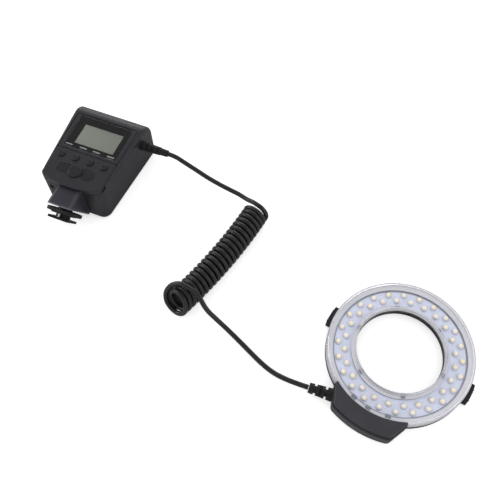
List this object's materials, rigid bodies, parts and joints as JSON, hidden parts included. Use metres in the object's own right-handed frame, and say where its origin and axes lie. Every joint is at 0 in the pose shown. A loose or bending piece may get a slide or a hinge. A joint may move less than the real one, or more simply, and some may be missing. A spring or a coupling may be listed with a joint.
{
  "type": "macro led ring light",
  "caption": "Ring light for a camera lens with rows of LEDs behind a clear cover, joined by a curly cord to a hot-shoe controller with a display and buttons.",
  "frame": {"origin": "centre of the ring's lens hole at its rear face, where the lens adapter seats", "axes": "+Z along the lens hole, the way the light shines; +X to the right and +Y away from the camera of the picture"},
  "size_m": [0.3539, 0.2976, 0.043],
  "materials": {
    "black_plastic": "satin",
    "grey_plastic": "satin",
    "clear_plastic": "gloss",
    "led_epoxy": "gloss",
    "white_board": "matte",
    "green_board": "matte",
    "rubber": "matte",
    "cord_rubber": "matte",
    "steel": "brushed",
    "bright_steel": "polished",
    "brass": "polished",
    "window_gloss": "gloss",
    "lcd_grey": "matte",
    "cell_jacket": "gloss"
  },
  "bodies": {
    "body": {"ring_housing": "black_plastic", "ring_cover": "clear_plastic", "cover_clips": "grey_plastic", "led_board": "white_board", "ring_screws": "steel", "leds": "led_epoxy", "box_shell": "grey_plastic", "box_plate": "grey_plastic", "box_screws": "steel", "terminal_board": "green_board", "ring_relief": "rubber", "main_shell": "grey_plastic", "front_cover": "grey_plastic", "display_window": "window_gloss", "lcd_frame": "steel", "lcd_glass": "lcd_grey", "main_board": "green_board", "tact_switches": "black_plastic", "shell_screws": "steel", "battery_tray": "black_plastic", "battery_cells": "cell_jacket", "battery_contacts": "steel", "door_hinge_pin": "steel", "jack_socket": "black_plastic", "controller_relief": "rubber", "shoe_neck": "grey_plastic", "shoe_foot": "steel", "shoe_contacts": "brass", "shoe_screws": "steel", "cord_upper": "cord_rubber", "cord_curl": "cord_rubber", "cord_lower": "cord_rubber"},
    "small_button_1": {"small_button_1": "grey_plastic"},
    "small_button_2": {"small_button_2": "grey_plastic"},
    "small_button_3": {"small_button_3": "grey_plastic"},
    "small_button_4": {"small_button_4": "grey_plastic"},
    "round_button": {"round_button": "grey_plastic"},
    "left_button": {"left_button": "grey_plastic"},
    "right_button": {"right_button": "grey_plastic"},
    "release_left": {"release_yoke_left": "black_plastic", "release_tab_left": "black_plastic"},
    "release_right": {"release_yoke_right": "black_plastic", "release_tab_right": "black_plastic"},
    "battery_door": {"battery_door": "grey_plastic"},
    "clamp": {"clamp_plate": "steel", "lock_pin": "bright_steel"},
    "lock_wheel": {"lock_wheel": "black_plastic"}
  },
  "joints": [
    {"name": "small_button_1_press", "type": "slide", "parent": "body", "child": "small_button_1", "axis": [0, 0, -1], "range_m": [0, 0.0008], "stiffness_N_per_m": 900, "springref_m": -0.0006},
    {"name": "small_button_2_press", "type": "slide", "parent": "body", "child": "small_button_2", "axis": [0, 0, -1], "range_m": [0, 0.0008], "stiffness_N_per_m": 900, "springref_m": -0.0006},
    {"name": "small_button_3_press", "type": "slide", "parent": "body", "child": "small_button_3", "axis": [0, 0, -1], "range_m": [0, 0.0008], "stiffness_N_per_m": 900, "springref_m": -0.0006},
    {"name": "small_button_4_press", "type": "slide", "parent": "body", "child": "small_button_4", "axis": [0, 0, -1], "range_m": [0, 0.0008], "stiffness_N_per_m": 900, "springref_m": -0.0006},
    {"name": "round_button_press", "type": "slide", "parent": "body", "child": "round_button", "axis": [0, 0, -1], "range_m": [0, 0.0008], "stiffness_N_per_m": 900, "springref_m": -0.0006},
    {"name": "left_button_press", "type": "slide", "parent": "body", "child": "left_button", "axis": [0, 0, -1], "range_m": [0, 0.0008], "stiffness_N_per_m": 900, "springref_m": -0.0006},
    {"name": "right_button_press", "type": "slide", "parent": "body", "child": "right_button", "axis": [0, 0, -1], "range_m": [0, 0.0008], "stiffness_N_per_m": 900, "springref_m": -0.0006},
    {"name": "release_left_press", "type": "slide", "parent": "body", "child": "release_left", "axis": [0.8434, -0.5373, 0], "range_m": [0, 0.0018], "stiffness_N_per_m": 1500, "springref_m": -0.001},
    {"name": "release_right_press", "type": "slide", "parent": "body", "child": "release_right", "axis": [-0.8434, 0.5373, 0], "range_m": [0, 0.0018], "stiffness_N_per_m": 1500, "springref_m": -0.001},
    {"name": "battery_door_hinge", "type": "hinge", "parent": "body", "child": "battery_door", "pos_m": [-0.2842, 0.18461, 0.0055], "axis": [-0.2962, -0.9551, 0], "range_deg": [0, 90]},
    {"name": "clamp_slide", "type": "slide", "parent": "body", "child": "clamp", "axis": [-0.325, -0.8209, -0.4695], "range_m": [0, 0.00125]},
    {"name": "lock_wheel_turn", "type": "hinge", "parent": "clamp", "child": "lock_wheel", "pos_m": [-0.27679, 0.12131, 0.02216], "axis": [-0.325, -0.8209, -0.4695], "range_deg": [0, 300]}
  ],
  "couplings": [
    {"joint": "clamp_slide", "follows": "lock_wheel_turn", "m_per_rad": 0.00023873}
  ]
}
